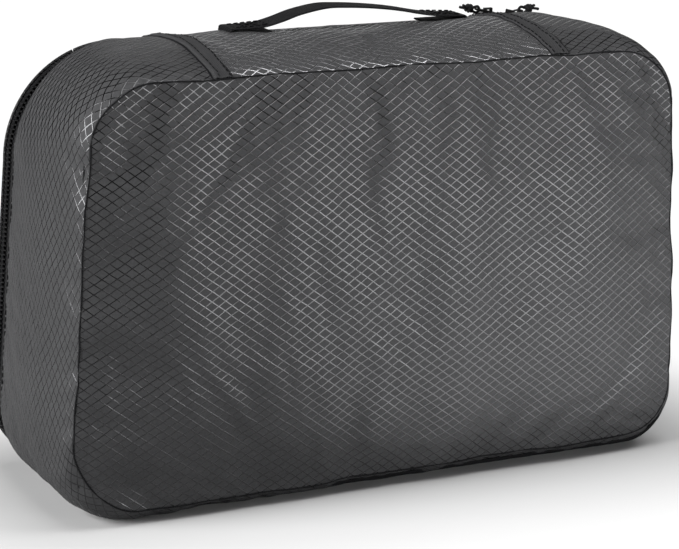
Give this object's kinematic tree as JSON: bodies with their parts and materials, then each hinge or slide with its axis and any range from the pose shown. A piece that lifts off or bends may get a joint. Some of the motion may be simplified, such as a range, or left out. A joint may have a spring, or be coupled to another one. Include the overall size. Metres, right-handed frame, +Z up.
{
  "type": "packing cube",
  "caption": "Small zipped packing cube in black diamond ripstop, standing on a long side, with a webbing handle, a hinged mesh lid and two zip sliders with cord pulls.",
  "frame": {"origin": "on the ground, under the middle of the cube's box", "axes": "+X along the length towards the parked zip sliders, +Y through the depth from the solid back panel to the lid, +Z up"},
  "size_m": [0.28, 0.09, 0.1901],
  "materials": {
    "ripstop": "coated diamond ripstop nylon, charcoal, with a slight sheen",
    "tape": "black woven polyester tape",
    "coil": "black nylon coil, glossy",
    "webbing": "black diagonal-weave webbing",
    "thread": "black bonded sewing thread",
    "metal": "black painted zinc",
    "cord": "black braided cord",
    "mesh": "black polyester net"
  },
  "bodies": {
    "root": {"back_panel": "ripstop", "back_seam_binding": "tape", "gusset_spine": "ripstop", "gusset_wrap": "ripstop", "seam_band_left": "ripstop", "seam_band_right": "ripstop", "zip_tape_body": "tape", "zip_coil_body": "coil", "zip_tape_corner_left": "tape", "zip_tape_corner_right": "tape", "zip_coil_corner_left": "coil", "zip_coil_corner_right": "coil", "zip_end_stop_left": "metal", "zip_end_stop_right": "metal", "lid_corner_left": "ripstop", "lid_corner_right": "ripstop", "handle_end_left": "webbing", "handle_end_right": "webbing", "handle_stitching_left": "thread", "handle_stitching_right": "thread"},
    "handle": {"handle_strap": "webbing"},
    "slider_a": {"slider_a": "metal"},
    "pull_a": {"pull_ring_a": "metal", "pull_cord_a": "cord", "pull_knot_a": "cord"},
    "slider_b": {"slider_b": "metal"},
    "pull_b": {"pull_ring_b": "metal", "pull_cord_b": "cord", "pull_knot_b": "cord"},
    "lid": {"lid_panel": "ripstop", "mesh_window": "mesh", "mesh_binding": "tape", "lid_rim": "ripstop", "zip_tape_lid": "tape", "zip_coil_lid": "coil", "lid_seam_binding": "tape"}
  },
  "joints": [
    {"name": "lid_hinge", "type": "hinge", "parent": "root", "child": "lid", "pos_m": [0, 0.045, 0.1725], "axis": [1, 0, 0], "range_deg": [0, 180]},
    {"name": "handle_swing", "type": "hinge", "parent": "root", "child": "handle", "pos_m": [0, 0.008, 0.1813], "axis": [1, 0, 0], "range_deg": [-35, 35]},
    {"name": "slider_a_slide", "type": "slide", "parent": "root", "child": "slider_a", "axis": [1, 0, 0], "range_m": [-0.0024, 0]},
    {"name": "slider_b_turn", "type": "hinge", "parent": "root", "child": "slider_b", "pos_m": [0.0857, 0.0362, 0.1295], "axis": [0, 1, 0], "range_deg": [0, 76]},
    {"name": "pull_a_flip", "type": "hinge", "parent": "slider_a", "child": "pull_a", "pos_m": [0.0866, 0.0362, 0.17865], "axis": [0, 1, 0], "range_deg": [0, 75]},
    {"name": "pull_b_flip", "type": "hinge", "parent": "slider_b", "child": "pull_b", "pos_m": [0.09759, 0.0362, 0.17719], "axis": [0, -1, 0], "range_deg": [0, 75]}
  ]
}
